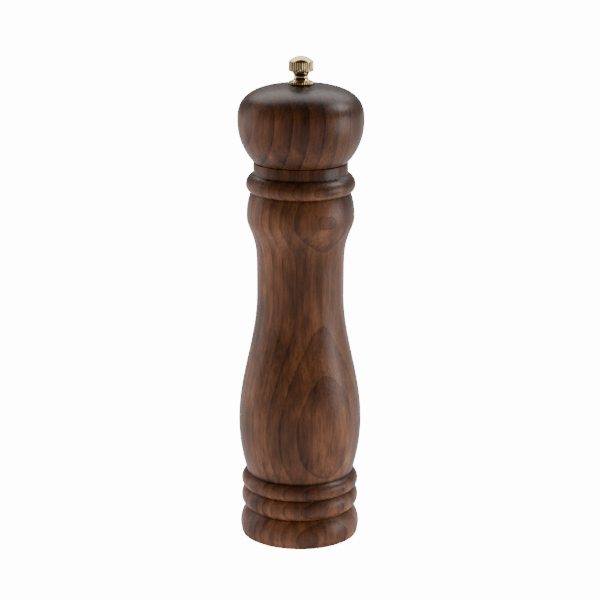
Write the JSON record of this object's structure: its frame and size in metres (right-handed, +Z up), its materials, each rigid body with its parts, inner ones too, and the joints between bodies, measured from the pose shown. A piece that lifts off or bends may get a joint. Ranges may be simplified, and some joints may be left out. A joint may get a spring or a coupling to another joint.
{
  "type": "pepper mill",
  "caption": "Turned dark wooden pepper mill with stepped foot, waisted body, rounded turning head and brass adjusting knob; square shaft, toothed steel grinder and spring inside.",
  "frame": {"origin": "centre of the foot's underside, on the surface the mill stands on", "axes": "+Z up along the mill's axis towards the knob; -Y is the side the picture was taken from, +X to its right"},
  "size_m": [0.056, 0.056, 0.22],
  "materials": {
    "walnut_stained_wood": "turned beech stained dark walnut, satin lacquer",
    "polished_brass": "polished",
    "carbon_steel": "case-hardened, dull grey",
    "zinc_plated_steel": "bright zinc plate",
    "black_nylon": "moulded, fine matt texture"
  },
  "bodies": {
    "body": {"body": "walnut_stained_wood", "grinder_housing": "black_nylon", "shaft_bridge": "zinc_plated_steel", "shaft_guide_bush": "black_nylon", "stator": "carbon_steel", "retaining_bar": "zinc_plated_steel", "retaining_bar_screw_1": "zinc_plated_steel", "retaining_bar_screw_2": "zinc_plated_steel"},
    "turning_set": {"spring": "zinc_plated_steel", "spring_seat_washer": "zinc_plated_steel"},
    "shaft": {"drive_shaft": "zinc_plated_steel", "rotor": "carbon_steel", "rotor_washer": "zinc_plated_steel", "shaft_circlip": "zinc_plated_steel"},
    "head": {"head": "walnut_stained_wood", "head_ferrule": "polished_brass", "driver_plate": "zinc_plated_steel", "driver_plate_screw_1": "zinc_plated_steel", "driver_plate_screw_2": "zinc_plated_steel", "driver_plate_screw_3": "zinc_plated_steel"},
    "knob": {"adjusting_knob": "polished_brass"}
  },
  "joints": [
    {"name": "head_turn", "type": "hinge", "parent": "body", "child": "turning_set", "pos_m": [0, 0, 0.1735], "axis": [0, 0, 1], "continuous": true},
    {"name": "shaft_slide", "type": "slide", "parent": "turning_set", "child": "shaft", "axis": [0, 0, 1], "range_m": [-0.0012, 0.0006], "deforming": ["spring"]},
    {"name": "head_lift", "type": "slide", "parent": "turning_set", "child": "head", "axis": [0, 0, 1], "range_m": [0, 0.066]},
    {"name": "knob_turn", "type": "hinge", "parent": "head", "child": "knob", "pos_m": [0, 0, 0.20755], "axis": [0, 0, 1], "range_deg": [-270, 540]}
  ],
  "couplings": [
    {"joint": "knob_turn", "follows": "shaft_slide", "rad_per_m": -7853}
  ]
}
